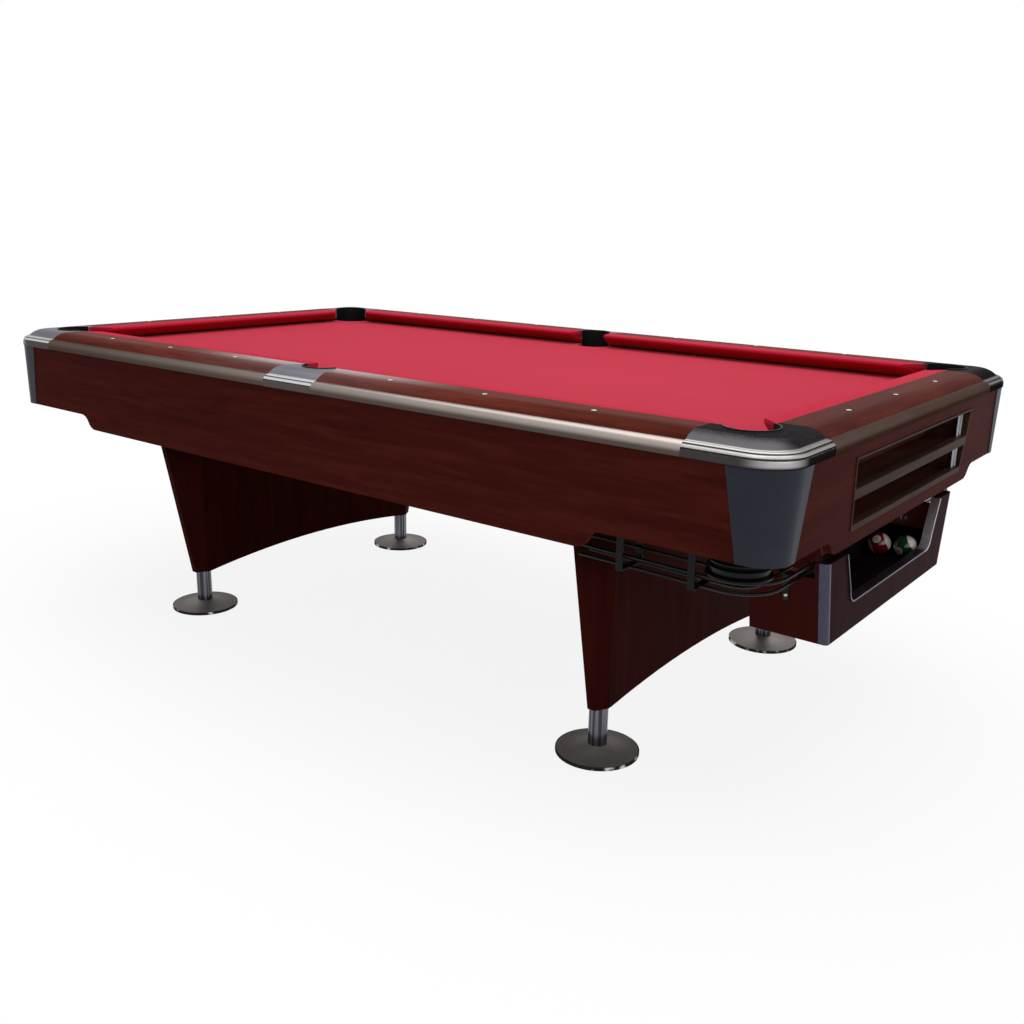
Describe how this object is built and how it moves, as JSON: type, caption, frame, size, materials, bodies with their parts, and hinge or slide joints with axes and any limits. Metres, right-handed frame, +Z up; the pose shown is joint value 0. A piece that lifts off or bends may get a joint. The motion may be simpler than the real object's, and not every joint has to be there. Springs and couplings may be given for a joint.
{
  "type": "pocket billiards table",
  "caption": "Pocket billiards table: cushioned slate bed with pockets, ball return gullies, ball box and rack in the foot end, arched pedestals on levelling feet.",
  "frame": {"origin": "on the floor, below the middle of the table", "axes": "+X along the table to the foot end with the ball box, +Y to the far long side, +Z up"},
  "size_m": [2.5652, 1.4476, 0.857],
  "materials": {
    "bed_cloth": "woven wool billiard cloth, stretched",
    "cushion_cloth": "wool cloth over rubber",
    "sight_pearl": "polished pearl inlay",
    "liner_black": "moulded, matt",
    "side_casting": "polished, ribbed edge",
    "corner_casting": "dark pewter plating, ribbed edge",
    "cover_grey": "satin charcoal moulding",
    "bolt_steel": "zinc plated",
    "trim_pewter": "satin anodised",
    "rail_wood": "mahogany stain, satin lacquer",
    "slate": "honed slate",
    "apron_wood": "dark mahogany stain, semi-gloss lacquer",
    "rack_wood": "dark mahogany stain",
    "rack_edge": "mahogany stain, worn edges",
    "rack_chrome": "polished",
    "frame_wood": "sawn softwood",
    "pedestal_wood": "dark mahogany stain, semi-gloss lacquer",
    "leveller_chrome": "polished",
    "disc_nickel": "dark nickel plating",
    "gully_black": "black plastic coating",
    "box_wood": "dark mahogany stain, semi-gloss lacquer",
    "box_silver": "polished strip",
    "tray_dark": "moulded, matt",
    "ball_green": "cast resin, green stripe",
    "ball_maroon": "cast resin, maroon stripe",
    "lock_chrome": "polished"
  },
  "bodies": {
    "table": {"apron_far": "apron_wood", "apron_foot": "apron_wood", "apron_head": "apron_wood", "apron_near": "apron_wood", "ball_box_carcass": "box_wood", "ball_box_front": "box_wood", "ball_box_trim": "box_silver", "ball_tray": "tray_dark", "bed_cloth": "bed_cloth", "corner_casting_far_foot": "corner_casting", "corner_casting_far_head": "corner_casting", "corner_casting_near_foot": "corner_casting", "corner_casting_near_head": "corner_casting", "corner_cover_far_foot": "cover_grey", "corner_cover_far_head": "cover_grey", "corner_cover_near_foot": "cover_grey", "corner_cover_near_head": "cover_grey", "cushion_far_foot": "cushion_cloth", "cushion_far_head": "cushion_cloth", "cushion_foot": "cushion_cloth", "cushion_head": "cushion_cloth", "cushion_near_foot": "cushion_cloth", "cushion_near_head": "cushion_cloth", "frame_beams": "frame_wood", "gully_far": "gully_black", "gully_near": "gully_black", "lock_ring": "lock_chrome", "pedestal_foot": "pedestal_wood", "pedestal_head": "pedestal_wood", "pocket_liners": "liner_black", "rack_frame": "rack_edge", "rack_posts": "rack_chrome", "rack_tray": "rack_wood", "rail_bolts": "bolt_steel", "rail_far_foot": "rail_wood", "rail_far_head": "rail_wood", "rail_foot": "rail_wood", "rail_head": "rail_wood", "rail_near_foot": "rail_wood", "rail_near_head": "rail_wood", "rail_trims_end": "trim_pewter", "rail_trims_long": "trim_pewter", "side_casting_far": "side_casting", "side_casting_near": "side_casting", "sights": "sight_pearl", "slate_centre": "slate", "slate_foot": "slate", "slate_head": "slate"},
    "leveller_far_foot": {"leveller_post_far_foot": "leveller_chrome", "leveller_disc_far_foot": "disc_nickel"},
    "leveller_far_head": {"leveller_post_far_head": "leveller_chrome", "leveller_disc_far_head": "disc_nickel"},
    "leveller_near_foot": {"leveller_post_near_foot": "leveller_chrome", "leveller_disc_near_foot": "disc_nickel"},
    "leveller_near_head": {"leveller_post_near_head": "leveller_chrome", "leveller_disc_near_head": "disc_nickel"},
    "green_ball": {"ball_green_stripe": "ball_green"},
    "maroon_ball": {"ball_maroon_stripe": "ball_maroon"},
    "lock_cylinder": {"lock_plug": "lock_chrome"}
  },
  "joints": [
    {"name": "level_far_foot", "type": "slide", "parent": "table", "child": "leveller_far_foot", "axis": [0, 0, 1], "range_m": [-0.006, 0]},
    {"name": "level_far_head", "type": "slide", "parent": "table", "child": "leveller_far_head", "axis": [0, 0, 1], "range_m": [-0.006, 0]},
    {"name": "level_near_foot", "type": "slide", "parent": "table", "child": "leveller_near_foot", "axis": [0, 0, 1], "range_m": [-0.006, 0]},
    {"name": "level_near_head", "type": "slide", "parent": "table", "child": "leveller_near_head", "axis": [0, 0, 1], "range_m": [-0.006, 0]},
    {"name": "green_ball_roll", "type": "slide", "parent": "table", "child": "green_ball", "axis": [0, 1, 0], "range_m": [-0.58, 0.05]},
    {"name": "maroon_ball_roll", "type": "slide", "parent": "table", "child": "maroon_ball", "axis": [0, 1, 0], "range_m": [-0.56, 0.07]},
    {"name": "key_turn", "type": "hinge", "parent": "table", "child": "lock_cylinder", "pos_m": [1.1456, 0.36899, 0.48], "axis": [0, -0.9802, 0.1978], "range_deg": [0, 90]}
  ]
}
